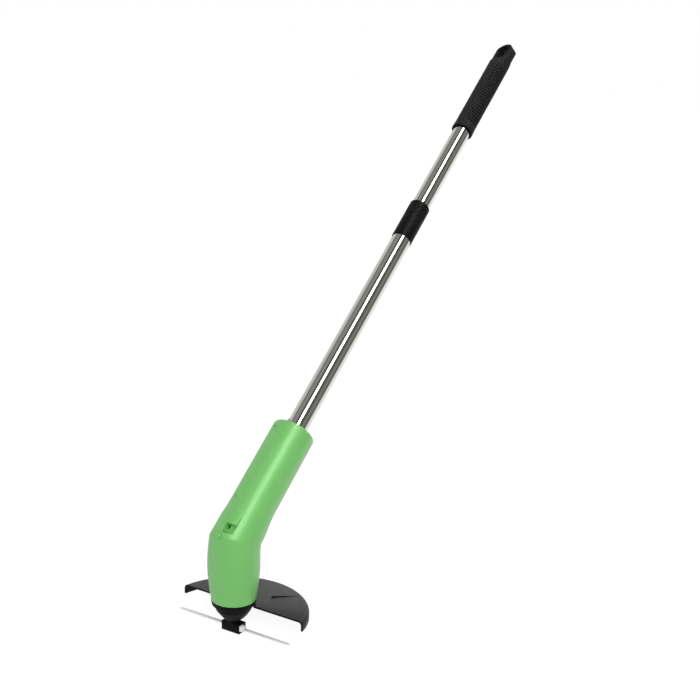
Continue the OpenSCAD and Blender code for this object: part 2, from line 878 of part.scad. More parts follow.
module wire(p) {
  n = len(p);
  sides = [
    for (i = [0 : n - 2]) for (k = [0 : 7])
      let (a = 8 * i + k, b = 8 * i + (k + 1) % 8)
      each [[a, b, b + 8], [a, b + 8, a + 8]]
  ];
  start = [for (k = [1 : 6]) [0, k + 1, k]];
  finish = [for (k = [1 : 6]) [8 * n - 8, 8 * n - 8 + k, 8 * n - 8 + k + 1]];
  polyhedron(points = wire_points(p), faces = concat(sides, start, finish));
}

module red_wire() {
  color([0.8, 0.1, 0.1]) on_pole() wire(red_route);
}

module black_wire() {
  color([0.06, 0.06, 0.06]) on_pole() wire(black_route);
}

module switch_wire() {
  color([0.8, 0.1, 0.1]) on_pole() wire(switch_route);
}

module tube_plug() {
  color([0.12, 0.12, 0.12]) on_pole() difference() {
    union() {
      rod(lower_d / 2 + 5, bay_top + rib_t, lower_foot);
      rod(lower_d / 2 - tube_wall, lower_foot - 1, lower_foot + plug_up);
    }
    rod(lower_d / 2 - tube_wall - 3, bay_top, lower_foot + plug_up + 1);
    rivet_holes();
  }
}

// Cross holes of the rivets that hold the tube on its plug
module rivet_holes() {
  translate([0, 0, sleeve_len + 7]) rotate([0, 90, 55]) rod(1.6, -big, big);
}

module tube_rivets() {
  color([0.7, 0.71, 0.72]) on_pole() for (a = [55, 235])
    translate([0, 0, sleeve_len + 7]) rotate([0, 90, a]) {
      rod(1.6, lower_d / 2 - tube_wall - 3, lower_d / 2 + 0.3);
      difference() {
        rod(2.6, lower_d / 2 - 0.4, lower_d / 2 + 0.9);
        rotate([0, -90, 0]) rod(lower_d / 2, -10, 10);
      }
    }
}

module lower_tube() {
  color([0.78, 0.78, 0.76]) on_pole() difference() {
    tube(lower_d / 2, lower_d / 2 - tube_wall, lower_foot, lower_end);
    rivet_holes();
  }
}

// Collar on the end of the lower tube, with a throat that guides the upper one
module lock_collar() {
  throat = upper_d / 2 + run;
  color([0.08, 0.08, 0.08]) on_pole() difference() {
    rotate_extrude() polygon(concat(
      [[0, collar_low], [collar_d / 2 - 0.6, collar_low], [collar_d / 2, collar_low + 0.6]],
      [for (a = [0 : 15 : 75]) [
        collar_d / 2 - 1.6 + 1.6 * cos(a), collar_top - 1.6 + 1.6 * sin(a)
      ]],
      [[0, collar_top]]
    ));
    rod(lower_d / 2, collar_low - 1, lower_end);
    rod(throat, collar_low, collar_top + 1);
    for (a = [0 : 30 : 330])
      rotate([0, 0, a]) translate([collar_d / 2 + 0.5, 0, collar_top - 20]) cylinder(r = 1, h = 12);
  }
}

module upper_tube() {
  color([0.8, 0.8, 0.78]) on_pole()
    tube(upper_d / 2, upper_d / 2 - tube_wall, upper_foot, grip_low + grip_socket);
}

// Plug in the foot of the upper tube, with the stud of the twist lock
module lock_plug() {
  color([0.75, 0.75, 0.72]) on_pole() {
    rod(upper_d / 2 - tube_wall, upper_foot, upper_foot + 22);
    rod(upper_d / 2, upper_foot - 3, upper_foot);
    rod(stud_r, lock_low, upper_foot);
  }
}

// Cone that rides on the stud and spreads the expander
module lock_cone() {
  color([0.7, 0.55, 0.3]) on_pole() difference() {
    union() {
      translate([0, 0, cone_low]) cylinder(r1 = 8.4, r2 = 6, h = cone_h);
      translate([-9, -1.2, cone_low]) cube([18, 2.4, cone_h]);
    }
    rod(stud_r + run, 0, lock_low + 20);
  }
}

// Split plastic sleeve that grips the lower tube when it is spread
module lock_expander() {
  wall_r = lower_d / 2 - tube_wall - run;
  color([0.9, 0.9, 0.88]) on_pole() difference() {
    rod(wall_r, lock_low + 3, upper_foot - 3.2);
    translate([0, 0, cone_low]) cylinder(r1 = 8.8, r2 = 4.7, h = 13.6);
    rod(stud_r + clear, 0, upper_foot);
    translate([-big / 2, -1.5, lock_low]) cube([big, 3, 13]);
    translate([-1.2, -big / 2, lock_low]) cube([2.4, big, 13]);
  }
}

// Ribbed grip that ends in a flat tab with a hanging eye
module grip() {
  r = grip_d / 2;
  groove = 0.9;
  color([0.08, 0.08, 0.08]) on_pole() rotate([0, 0, -eye_turn]) difference() {
    union() {
      intersection() {
        union() {
          rod(r, grip_low + 3, rib_low);
          rod(r - groove, rib_low - 1, rib_low + rib_n * rib_pitch + 1);
          for (i = [0 : rib_n - 1])
            rod(r, rib_low + i * rib_pitch + 1.8, rib_low + (i + 1) * rib_pitch);
          rod(r, rib_low + rib_n * rib_pitch, pole_top);
          // Smooth panels on the upper and lower faces
          intersection() {
            rod(r, grip_low, pole_top);
            translate([-r * 0.55, -r, 0]) cube([r * 1.1, 2 * r, pole_top]);
          }
        }
        // Side view: the end thins to a tab
        rotate([90, 0, 90]) translate([0, 0, -r]) linear_extrude(2 * r) polygon([
          [-r, grip_low], [r, grip_low], [r, eye_t - eye_r - 14], [eye_half, eye_t - eye_r + 2],
          [eye_half, pole_top], [-eye_half, pole_top], [-eye_half, eye_t - eye_r + 2],
          [-r, eye_t - eye_r - 14]
        ]);
        // Front view: the tab's end is round
        rotate([90, 0, 0]) translate([0, 0, -r]) linear_extrude(2 * r) union() {
          translate([-r, grip_low]) square([2 * r, eye_t - grip_low]);
          translate([0, eye_t]) circle(r = eye_r);
        }
      }
      // Lip at the lower end
      rod(r + 0.4, grip_low, grip_low + 3.2);
    }
    rod(upper_d / 2 + run, grip_low - 1, grip_low + grip_socket + 0.2);
    translate([0, big / 2, 0]) rotate([90, 0, 0]) linear_extrude(big) {
      translate([0, hole_t]) circle(r = eye_d / 2);
      translate([-eye_slot_w / 2, slot_t]) square([eye_slot_w, hole_t - slot_t]);
      translate([0, slot_t]) circle(r = eye_slot_w / 2);
    }
  }
}

left_shell();
right_shell();
body_screws();
battery_door();
cell_1();
cell_2();
cell_3();
cell_4();
contact_bridge();
contact_plus();
contact_minus();
switch_case();
switch_terminals();
switch_slider();
motor_can();
motor_magnets();
motor_cap();
motor_terminals();
motor_shaft();
armature();
commutator();
spindle_bush();
nose_cone();
spindle_block();
tie_left();
tie_right();
guard();
red_wire();
black_wire();
switch_wire();
tube_plug();
tube_rivets();
lower_tube();
lock_collar();
upper_tube();
lock_plug();
lock_cone();
lock_expander();
grip();
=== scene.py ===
"""Looks of the grass trimmer: its finishes, its hand-modelled pieces, and a white studio."""
import json
import math

import bmesh
import bpy
from mathutils import Matrix, Vector


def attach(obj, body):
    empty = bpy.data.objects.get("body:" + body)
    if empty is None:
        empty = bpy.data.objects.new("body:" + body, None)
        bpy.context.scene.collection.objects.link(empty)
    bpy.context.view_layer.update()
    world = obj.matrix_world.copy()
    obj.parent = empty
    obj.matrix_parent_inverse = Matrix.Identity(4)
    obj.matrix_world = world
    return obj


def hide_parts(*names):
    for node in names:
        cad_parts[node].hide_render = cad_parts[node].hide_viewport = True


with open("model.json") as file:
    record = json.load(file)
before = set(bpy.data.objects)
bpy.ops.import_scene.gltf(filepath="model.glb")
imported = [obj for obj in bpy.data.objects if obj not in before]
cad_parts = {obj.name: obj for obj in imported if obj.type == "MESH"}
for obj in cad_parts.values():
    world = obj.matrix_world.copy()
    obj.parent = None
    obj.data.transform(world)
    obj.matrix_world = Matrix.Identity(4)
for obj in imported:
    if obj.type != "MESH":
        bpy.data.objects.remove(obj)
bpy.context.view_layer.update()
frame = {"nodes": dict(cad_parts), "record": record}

MM = 0.001
BEND_ANGLE = math.radians(50)
BEND_HEIGHT = 0.098
# Frame of the pole: Z runs up it from the bend, and -Y is its upper side
POLE = Matrix.Translation((0, 0, BEND_HEIGHT)) @ Matrix.Rotation(-BEND_ANGLE, 4, "X")

# Camera of the photograph, from the fit to the trimmer's outline
CAMERA_PLACE = Vector((0.6959, -0.9053, 0.5860))
CAMERA_AZIMUTH = math.radians(32.02)
CAMERA_ELEVATION = math.radians(14.34)
CAMERA_ROLL = math.radians(1.59)
FOCAL_PIXELS = 1230.31
PICTURE_PIXELS = 700
SENSOR_MM = 36
CLIP_NEAR = 0.05
CLIP_FAR = 60
# Turn of the camera about the pole, in degrees from the pole's upper side
camera_on_pole = POLE.inverted() @ CAMERA_PLACE
CAMERA_TURN = math.degrees(math.atan2(camera_on_pole.x, -camera_on_pole.y))


# Studio: camera, lamps, surroundings and floor

def place_camera():
    """Puts the camera where the photograph was taken from."""
    ahead = Vector((-math.sin(CAMERA_AZIMUTH) * math.cos(CAMERA_ELEVATION),
                    math.cos(CAMERA_AZIMUTH) * math.cos(CAMERA_ELEVATION),
                    -math.sin(CAMERA_ELEVATION)))
    level = Vector((math.cos(CAMERA_AZIMUTH), math.sin(CAMERA_AZIMUTH), 0))
    above = level.cross(ahead)
    right = level * math.cos(CAMERA_ROLL) + above * math.sin(CAMERA_ROLL)
    up = above * math.cos(CAMERA_ROLL) - level * math.sin(CAMERA_ROLL)
    data = bpy.data.cameras.new("camera")
    data.sensor_width = SENSOR_MM
    data.lens = FOCAL_PIXELS / PICTURE_PIXELS * SENSOR_MM
    data.clip_start = CLIP_NEAR
    data.clip_end = CLIP_FAR
    camera = bpy.data.objects.new("camera", data)
    bpy.context.scene.collection.objects.link(camera)
    turn = Matrix((right, up, -ahead)).transposed().to_4x4()
    camera.matrix_world = Matrix.Translation(CAMERA_PLACE) @ turn
    bpy.context.scene.camera = camera


LAMP_AIM = Vector((0, 0.1, 0.2))
LAMP_DISTANCE = 2.2


def soft_light(name, direction, size, power):
    """Lamp that lies in a direction from the aim point, turned to face it."""
    data = bpy.data.lights.new(name, "AREA")
    data.shape = "SQUARE"
    data.size = size
    data.energy = power
    lamp = bpy.data.objects.new(name, data)
    bpy.context.scene.collection.objects.link(lamp)
    out = Vector(direction).normalized()
    lamp.location = LAMP_AIM + out * LAMP_DISTANCE
    lamp.rotation_mode = "QUATERNION"
    lamp.rotation_quaternion = out.to_track_quat("Z", "Y")
    lamp.visible_glossy = False


class Value:
    """Output of a shader node that Python's arithmetic can use."""

    def __init__(self, finish, socket):
        self.finish = finish
        self.socket = socket

    def maths(self, operation, *inputs):
        return self.finish.node("ShaderNodeMath", {"operation": operation}, dict(enumerate(inputs)))

    def __add__(self, other):
        return self.maths("ADD", self, other)

    def __radd__(self, other):
        return self.maths("ADD", other, self)

    def __sub__(self, other):
        return self.maths("SUBTRACT", self, other)

    def __rsub__(self, other):
        return self.maths("SUBTRACT", other, self)

    def __mul__(self, other):
        return self.maths("MULTIPLY", self, other)

    def __abs__(self):
        return self.maths("ABSOLUTE", self)


# Sockets of a Mix node that mixes colours
MIX_FACTOR = 0
MIX_A = 6
MIX_B = 7
MIX_RESULT = 2


class Finish:
    """Material built of nodes, with one Principled shader."""

    def __init__(self, name, tree=None):
        self.material = None
        if tree is None:
            self.material = bpy.data.materials.new(name)
            self.material.use_nodes = True
            tree = self.material.node_tree
        self.tree = tree
        tree.nodes.clear()

    def node(self, kind, settings=None, inputs=None, output=0):
        """Adds a node: its settings first, then the values or links of its sockets."""
        made = self.tree.nodes.new(kind)
        for key, value in (settings or {}).items():
            setattr(made, key, value)
        for key, value in (inputs or {}).items():
            if isinstance(value, Value):
                self.tree.links.new(value.socket, made.inputs[key])
            else:
                made.inputs[key].default_value = value
        return Value(self, made.outputs[output])

    def place(self, scale=(1, 1, 1), on_pole=False):
        """Object coordinates in millimetres, in the pole's frame if asked, then stretched."""
        point = self.node("ShaderNodeTexCoord", output="Object")
        if on_pole:
            point = self.node("ShaderNodeMapping", {"vector_type": "TEXTURE"}, {
                "Vector": point, "Location": (0, 0, BEND_HEIGHT), "Rotation": (-BEND_ANGLE, 0, 0)})
        return self.node("ShaderNodeMapping", {"vector_type": "POINT"}, {
            "Vector": point, "Scale": tuple(s / MM for s in scale)})

    def noise(self, point, size, detail):
        """Noise from about 0 to 1 whose features are size millimetres wide."""
        return self.node("ShaderNodeTexNoise", None, {"Vector": point, "Scale": 1 / size, "Detail": detail})

    def spread(self, value, low, high, to_low=0.0, to_high=1.0):
        """Maps low..high to to_low..to_high with a soft start and end."""
        return self.node("ShaderNodeMapRange", {"interpolation_type": "SMOOTHSTEP"}, {
            "Value": value, "From Min": low, "From Max": high, "To Min": to_low, "To Max": to_high})

    def mix(self, factor, colour_a, colour_b):
        """Colour between two colours."""
        ends = [colour if isinstance(colour, Value) else (*colour, 1) for colour in (colour_a, colour_b)]
        return self.node("ShaderNodeMix", {"data_type": "RGBA"}, {
            MIX_FACTOR: factor, MIX_A: ends[0], MIX_B: ends[1]}, MIX_RESULT)

    def bump(self, height, depth):
        """Normal raised by a height from 0 to 1, depth millimetres deep."""
        return self.node("ShaderNodeBump", None, {
            "Height": height, "Distance": depth * MM, "Strength": 1.0})

    def shader(self, **inputs):
        """Ends the material in a Principled shader with these sockets."""
        made = self.node("ShaderNodeBsdfPrincipled", None, {
            key.replace("_", " "): value for key, value in inputs.items()}, "BSDF")
        out = self.tree.nodes.new("ShaderNodeOutputMaterial")
        self.tree.links.new(made.socket, out.inputs["Surface"])
        return self.material


# Bands that polished steel mirrors, by their turn about the pole from the camera's side,
# in degrees: middle, half width and strength
GLOSSY_BANDS = ((-3, 8, 13), (-54, 18, 0.22), (54, 17, 0.15), (128, 34, 1.0), (-140, 52, 0.7))
# Strength between the bands
GLOSSY_BASE = 0.125
# Share of a band's half width at which it is faint, and at which it is full
BAND_EDGE = 1.35
BAND_CORE = 0.65
# A band stronger than this is seen only in reflections that run up the pole
BAND_BRIGHT = 1
# Rise along the pole of a reflection's direction, at which such a band is absent and full
BAND_ABSENT = -0.15
BAND_FULL = 0.3
# Strength of the surroundings for light that isn't a reflection
PLAIN_LEVEL = 0.52
WHITE = (1, 1, 1, 1)
FLOOR_SIZE = 24
FLOOR_HEIGHT = -0.0006
# Strength of the floor's glow, and the camera's share of it: the rest is a matte grey
FLOOR_GLOW = 1.18
FLOOR_GLOW_SHARE = 0.78
FLOOR_GREY = (0.86, 0.86, 0.86, 1)


def surroundings():
    """White for the camera, a plain level for diffuse light, and softboxes for reflections."""
    world = bpy.data.worlds.new("studio")
    bpy.context.scene.world = world
    world.use_nodes = True
    sky = Finish("studio", world.node_tree)
    path = sky.tree.nodes.new("ShaderNodeLightPath")
    seen = Value(sky, path.outputs["Is Camera Ray"])
    mirrored = Value(sky, path.outputs["Is Glossy Ray"])
    ahead = sky.node("ShaderNodeTexCoord", output="Generated")
    along = sky.node("ShaderNodeVectorRotate", {"rotation_type": "X_AXIS"}, {
        "Vector": ahead, "Angle": BEND_ANGLE})
    parts = sky.tree.nodes.new("ShaderNodeSeparateXYZ")
    sky.tree.links.new(along.socket, parts.inputs[0])
    across = Value(sky, parts.outputs["X"])
    upper = Value(sky, parts.outputs["Y"]) * -1
    turn = across.maths("ARCTAN2", across, upper) * math.degrees(1)
    lengthwise = sky.spread(Value(sky, parts.outputs["Z"]), BAND_ABSENT, BAND_FULL)
    glow = GLOSSY_BASE
    for middle, half, strength in GLOSSY_BANDS:
        away = abs(turn - (CAMERA_TURN + middle))
        away = away.maths("MINIMUM", away, 360 - away)
        band = sky.spread(away, half * BAND_EDGE, half * BAND_CORE, 0.0, strength)
        glow = glow + (band * lengthwise if strength > BAND_BRIGHT else band)
    direct = sky.node("ShaderNodeBackground", None, {"Color": WHITE, "Strength": 1.0})
    level = mirrored * glow + (1 - mirrored) * PLAIN_LEVEL
    light = sky.node("ShaderNodeBackground", None, {"Color": WHITE, "Strength": level})
    both = sky.node("ShaderNodeMixShader", None, {0: seen, 1: light, 2: direct})
    out = sky.tree.nodes.new("ShaderNodeOutputWorld")
    sky.tree.links.new(both.socket, out.inputs["Surface"])


def floor():
    """Floor that keeps the shadow, is nearly white to the camera, and lets reflections by."""
    bpy.ops.object.select_all(action="DESELECT")
    bpy.ops.mesh.primitive_plane_add(size=FLOOR_SIZE, location=(0, 0, FLOOR_HEIGHT))
    plane = bpy.context.object
    plane.name = "floor"
    pale = Finish("floor")
    path = pale.tree.nodes.new("ShaderNodeLightPath")
    seen = Value(pale, path.outputs["Is Camera Ray"])
    mirrored = Value(pale, path.outputs["Is Glossy Ray"])
    matte = pale.node("ShaderNodeBsdfDiffuse", None, {"Color": FLOOR_GREY})
    glow = pale.node("ShaderNodeEmission", None, {"Color": WHITE, "Strength": FLOOR_GLOW})
    clear = pale.node("ShaderNodeBsdfTransparent")
    shown = pale.node("ShaderNodeMixShader", None, {0: seen * FLOOR_GLOW_SHARE, 1: matte, 2: glow})
    both = pale.node("ShaderNodeMixShader", None, {0: mirrored, 1: shown, 2: clear})
    out = pale.tree.nodes.new("ShaderNodeOutputMaterial")
    pale.tree.links.new(both.socket, out.inputs["Surface"])
    plane.data.materials.append(pale.material)


place_camera()
surroundings()
floor()
bpy.context.scene.view_settings.view_transform = "Standard"
soft_light("key", (0.66, -0.78, 0.62), size=1.4, power=24)
soft_light("top", (-0.1, 0.5, 1.0), size=1.2, power=8)

CAD = frame["nodes"]
# Edges sharper than this stay sharp, and points nearer than this are one
SMOOTH_ANGLE = math.radians(34)
MERGE_WITHIN = 2e-6

# Grey on the guard's top, lighter towards the rear: the direction it grows in, how ragged its edge
# is, and where it starts and is full, in millimetres
TOP_GREY_BEHIND = 0.8
TOP_GREY_ASIDE = 0.35
TOP_GREY_RAGGED = 6
TOP_GREY_FROM = -15
TOP_GREY_FULL = 48


def green_plastic():
    """Satin moulded green, with a fine grain and a thin gloss."""
    m = Finish("green_plastic")
    point = m.place()
    cloud = m.noise(point, 38, 3)
    grain = m.noise(point, 0.35, 2)
    colour = m.mix(cloud, (0.164, 0.500, 0.125), (0.186, 0.540, 0.144))
    return m.shader(Base_Color=colour, Roughness=0.40 + cloud * 0.08, Normal=m.bump(grain, 0.006),
                    IOR=1.5, Coat_Weight=0.4, Coat_Roughness=0.36)


def black_plastic():
    """Moulded black with little shine."""
    m = Finish("black_plastic")
    point = m.place()
    grain = m.noise(point, 0.5, 3)
    cloud = m.noise(point, 25, 2)
    colour = m.mix(cloud, (0.003, 0.003, 0.0032), (0.005, 0.005, 0.0052))
    return m.shader(Base_Color=colour, Roughness=0.46 + cloud * 0.16, Normal=m.bump(grain, 0.015),
                    Specular_IOR_Level=0.1)


def grip_rubber():
    """Soft black of the grip, with painted shade that darkens its grooves."""
    m = Finish("grip_rubber")
    point = m.place(on_pole=True)
    grain = m.noise(point, 0.6, 2)
    cloud = m.noise(point, 18, 2)
    flat = m.node("ShaderNodeVectorMath", {"operation": "MULTIPLY"}, {0: point, 1: (1, 1, 0)})
    out = m.node("ShaderNodeVectorMath", {"operation": "LENGTH"}, {0: flat}, "Value")
    # Painted shade: the deeper into a groove, the darker; the rib tops keep the full colour
    raised = m.spread(out, GRIP_R - RIB_DEPTH, GRIP_R - RIB_SHADE_CLEAR, 0.25, 1)
    rib_top_colour = m.mix(cloud, (0.0150, 0.0150, 0.0153), (0.0185, 0.0185, 0.019))
    colour = m.mix(raised, (0.002, 0.002, 0.002), rib_top_colour)
    return m.shader(Base_Color=colour, Roughness=0.62 + cloud * 0.14, Normal=m.bump(grain, 0.008),
                    Specular_IOR_Level=0.12)


def guard_plastic():
    """Moulded guard: its upward faces are grey, lighter towards the rear, and painted shade keeps its other
    faces near black.
    """
    m = Finish("guard_plastic")
    point = m.place()
    grain = m.noise(point, 0.4, 3)
    cloud = m.noise(point, 30, 2)
    aside = m.node("ShaderNodeSeparateXYZ", None, {"Vector": point}, "X")
    behind = m.node("ShaderNodeSeparateXYZ", None, {"Vector": point}, "Y")
    faces = m.node("ShaderNodeNewGeometry", output="Normal")
    # Painted shade: faces that don't face up, the skirt's sides and inner side, are near black; upward
    # faces take the top's grey
    painted_facing_shade = m.spread(m.node("ShaderNodeSeparateXYZ", None, {"Vector": faces}, "Z"), 0.4, 0.97)
    # The top's grey grows lighter towards the rear and to one side, with a ragged edge
    rear = m.spread(behind * TOP_GREY_BEHIND - aside * TOP_GREY_ASIDE + cloud * TOP_GREY_RAGGED, TOP_GREY_FROM, TOP_GREY_FULL)
    top = m.mix(rear, (0.030, 0.029, 0.031), (0.092, 0.090, 0.092))
    colour = m.mix(painted_facing_shade, (0.006, 0.006, 0.0062), top)
    return m.shader(Base_Color=colour, Roughness=0.42 + cloud * 0.14, Normal=m.bump(grain, 0.012),
                    Specular_IOR_Level=0.15)


def tube_steel():
    """Polished steel with streaks that run along the pole."""
    m = Finish("tube_steel")
    streak_point = m.place((1, 1, 0.006), on_pole=True)
    streak = m.noise(streak_point, 0.8, 3)
    broad = m.noise(streak_point, 5, 2)
    colour = m.mix(broad, (0.55, 0.54, 0.50), (0.68, 0.67, 0.63))
    return m.shader(Base_Color=colour, Metallic=1.0, Roughness=0.045 + streak * 0.06,
                    Normal=m.bump(streak, 0.002))


def metal(name, dark, light, rough):
    """Metal between two colours, with fine scratches."""
    m = Finish(name)
    point = m.place()
    cloud = m.noise(point, 3, 4)
    scratch = m.noise(m.place((1, 0.05, 1)), 0.4, 2)
    colour = m.mix(cloud, dark, light)
    return m.shader(Base_Color=colour, Metallic=1.0, Roughness=rough + scratch * 0.18,
                    Normal=m.bump(scratch, 0.006))


def plastic(name, dark, light, rough, size=12, grain_size=0.4):
    """Plastic between two colours, whose clouds and grain have sizes in millimetres."""
    m = Finish(name)
    point = m.place()
    cloud = m.noise(point, size, 2)
    grain = m.noise(point, grain_size, 2)
    return m.shader(Base_Color=m.mix(cloud, dark, light), Roughness=rough + cloud * 0.12,
                    Normal=m.bump(grain, 0.01))


FINISHES = {
    "green_plastic": green_plastic(),
    "black_plastic": black_plastic(),
    "guard_plastic": guard_plastic(),
    "tube_steel": tube_steel(),
    "bright_steel": metal("bright_steel", (0.5, 0.5, 0.51), (0.62, 0.62, 0.63), 0.2),
    "motor_steel": metal("motor_steel", (0.45, 0.46, 0.48), (0.56, 0.57, 0.59), 0.28),
    "magnet": plastic("magnet", (0.02, 0.02, 0.021), (0.035, 0.034, 0.034), 0.5),
    "white_plastic": plastic("white_plastic", (0.68, 0.68, 0.64), (0.76, 0.76, 0.73), 0.38),
    "tie_nylon": plastic("tie_nylon", (0.86, 0.87, 0.86), (0.93, 0.94, 0.93), 0.3, 6, 0.3),
    "contact_metal": metal("contact_metal", (0.55, 0.54, 0.48), (0.7, 0.68, 0.62), 0.22),
    "brass": metal("brass", (0.6, 0.43, 0.16), (0.72, 0.54, 0.24), 0.22),
    "copper": metal("copper", (0.5, 0.2, 0.08), (0.66, 0.3, 0.13), 0.26),
    "bronze": metal("bronze", (0.42, 0.26, 0.11), (0.55, 0.37, 0.17), 0.4),
    "cell_jacket": metal("cell_jacket", (0.4, 0.26, 0.06), (0.5, 0.34, 0.1), 0.2),
    "red_pvc": plastic("red_pvc", (0.48, 0.012, 0.012), (0.56, 0.02, 0.018), 0.32),
    "black_pvc": plastic("black_pvc", (0.012, 0.012, 0.012), (0.02, 0.02, 0.02), 0.34),
}


# Modelling helpers

def alone():
    """Deselects everything, so that the next primitive is the only piece in hand."""
    if bpy.context.mode != "OBJECT":
        bpy.ops.object.mode_set(mode="OBJECT")
    bpy.ops.object.select_all(action="DESELECT")


def hold(piece):
    """Makes a piece the only one selected, and active."""
    alone()
    piece.select_set(True)
    bpy.context.view_layer.objects.active = piece


def pick(piece, choose, kind="FACE"):
    """Opens edit mode with only the faces or vertices that the rule chooses selected."""
    hold(piece)
    bpy.ops.object.mode_set(mode="EDIT")
    bpy.ops.mesh.select_mode(type=kind)
    bpy.ops.mesh.select_all(action="DESELECT")
    mesh = bmesh.from_edit_mesh(piece.data)
    for part in mesh.verts if kind == "VERT" else mesh.faces:
        if choose(part):
            part.select_set(True)
    mesh.select_flush_mode()
    bmesh.update_edit_mesh(piece.data)


def every(part):
    """Rule that chooses all."""
    return True


def cut(piece, point, normal, drop_lower=False):
    """Cuts every face of a piece along a plane, and drops the side behind it if asked."""
    pick(piece, every)
    bpy.ops.mesh.bisect(plane_co=point, plane_no=normal, use_fill=drop_lower, clear_inner=drop_lower)
    bpy.ops.object.mode_set(mode="OBJECT")


def apply(piece, kind, **settings):
    """Adds a modifier with its settings and applies it."""
    hold(piece)
    made = piece.modifiers.new(kind.lower(), kind)
    for key, value in settings.items():
        setattr(made, key, value)
    bpy.ops.object.modifier_apply(modifier=made.name)


def carve(piece, cutter, operation="DIFFERENCE"):
    """Applies an exact boolean with a cutter, and removes the cutter."""
    apply(piece, "BOOLEAN", operation=operation, object=cutter, solver="EXACT")
    bpy.data.objects.remove(cutter)


def settle(piece):
    """Puts a piece's place into its mesh."""
    hold(piece)
    bpy.ops.object.transform_apply(location=True, rotation=True, scale=True)
    return piece


def dress(piece, finish, body, *nodes):
    """Gives a piece its finish and soft shading, puts it under its body, and hides the nodes it stands for.
    """
    piece.data.materials.clear()
    piece.data.materials.append(finish)
    hold(piece)
    bpy.ops.object.shade_smooth_by_angle(angle=SMOOTH_ANGLE)
    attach(piece, body)
    if nodes:
        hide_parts(*nodes)


def drop_normals(mesh):
    """Drops the normals that came with a CAD mesh, so that shading follows its faces."""
    if "custom_normal" in mesh.attributes:
        mesh.attributes.remove(mesh.attributes["custom_normal"])


def copy_of(node, name):
    """Piece with a copy of a CAD node's mesh, its loose triangles merged."""
    piece = bpy.data.objects.new(name, CAD[node].data.copy())
    bpy.context.scene.collection.objects.link(piece)
    drop_normals(piece.data)
    pick(piece, every, "VERT")
    bpy.ops.mesh.remove_doubles(threshold=MERGE_WITHIN)
    bpy.ops.object.mode_set(mode="OBJECT")
    return piece


# Casing: copies of the body's halves and door, with the bend and the pod's neck faired

# Sizes of the body as in the part's source, in millimetres
POD_WIDE_R = 26.5
POD_WIDE_H = 74
POD_BASE_R = 22.1
POD_BASE_H = 32
BEND_R = 24
SLEEVE_R = 23
FLARE_LEN = 34
# The mitre reaches this far along the pod and the sleeve, with a margin
BEND_MARGIN = 0.6
BEND_ZONE = BEND_R * math.tan(BEND_ANGLE / 2) + BEND_MARGIN
# The skin lies between these distances, up the pod and up the sleeve
BODY_START = POD_BASE_H + 1
BODY_END = 128
# A point this near to the outer surface is part of the skin
SKIN = 0.35
# The bend's inner side is filled from this share of the radius on, towards the pole's under side
INNER_FROM = -0.6
# Fill there, how far up the sleeve it is full, and over what length it fades
FILL_INNER = 2.5
FILL_FULL = 12
FILL_FADE = 40
# Height at which the neck has narrowed to the radius of the bend
NECK_TOP = 106
# Zone beside the mitre that is smoothed, the cuts on each side of it, and the smoothing
CREASE_HALF = 3.6
CREASE_MARGIN = 0.1
CREASE_CUTS = 3
CREASE_PASSES = 10
CREASE_PULL = 0.5
# Heights of the cuts through the pod and the sleeve that give the fairing points to move
POD_CUTS = range(67, 106, 3)
SLEEVE_CUTS = range(-6, 48, 6)
MITRE_NORMAL = Vector((0, math.sin(BEND_ANGLE / 2), math.cos(BEND_ANGLE / 2)))
BEND_POINT = Vector((0, 0, BEND_HEIGHT))


def ease(share):
    """Smooth step from 0 to 1."""
    return (1 - math.cos(math.pi * min(max(share, 0), 1))) / 2


def pod_radius(z):
    """Radius of the pod's skin at a height, in millimetres."""
    if z <= POD_WIDE_H:
        rise = max(z - POD_BASE_H, 0) / (POD_WIDE_H - POD_BASE_H)
        return POD_BASE_R + (POD_WIDE_R - POD_BASE_R) * math.sin(math.pi / 2 * rise)
    return BEND_R + (POD_WIDE_R - BEND_R) * (
        1 - ease((z - POD_WIDE_H) / (BEND_HEIGHT / MM - BEND_ZONE - POD_WIDE_H)))


def sleeve_radius(t):
    """Radius of the sleeve's skin at a distance from the bend, in millimetres."""
    share = ease((t - BEND_ZONE) / (FLARE_LEN - BEND_ZONE))
    return BEND_R * (1 - share) + SLEEVE_R * share


def skin_place(point):
    """Whether a point is past the mitre, how far along and out it is, and the skin's radius there.

    The last value is the point in its own side's frame.
    """
    on_sleeve = (point - BEND_POINT).dot(MITRE_NORMAL) > 0
    local = POLE.inverted() @ point if on_sleeve else point
    along = local.z / MM
    out = math.hypot(local.x, local.y) / MM
    nominal = sleeve_radius(along) if on_sleeve else pod_radius(along)
    return on_sleeve, along, out, nominal, local


def is_skin(point):
    """Whether a point lies on the body's outer surface, clear of both ends."""
    on_sleeve, along, out, nominal, _ = skin_place(point)
    return out > nominal - SKIN and (along < BODY_END if on_sleeve else along > BODY_START)


def faired(point):
    """Place of a skin point once the bend's inner side and the pod's neck are filled."""
    on_sleeve, along, out, nominal, local = skin_place(point)
    inner = ease((local.y / MM / out - INNER_FROM) / (1 - INNER_FROM))
    if on_sleeve:
        grow = FILL_INNER * inner * (1 - ease((along - FILL_FULL) / FILL_FADE))
    elif along > POD_WIDE_H:
        upper = min((along - POD_WIDE_H) / (NECK_TOP - POD_WIDE_H), 1)
        bow = BEND_R + (POD_WIDE_R - BEND_R) * math.cos(math.pi / 2 * upper) - nominal
        grow = (POD_WIDE_R - nominal) * inner + max(bow, 0) * (1 - inner)
    else:
        grow = 0
    scale = (out + grow) / out
    moved = Vector((local.x * scale, local.y * scale, local.z))
    return POLE @ moved if on_sleeve else moved


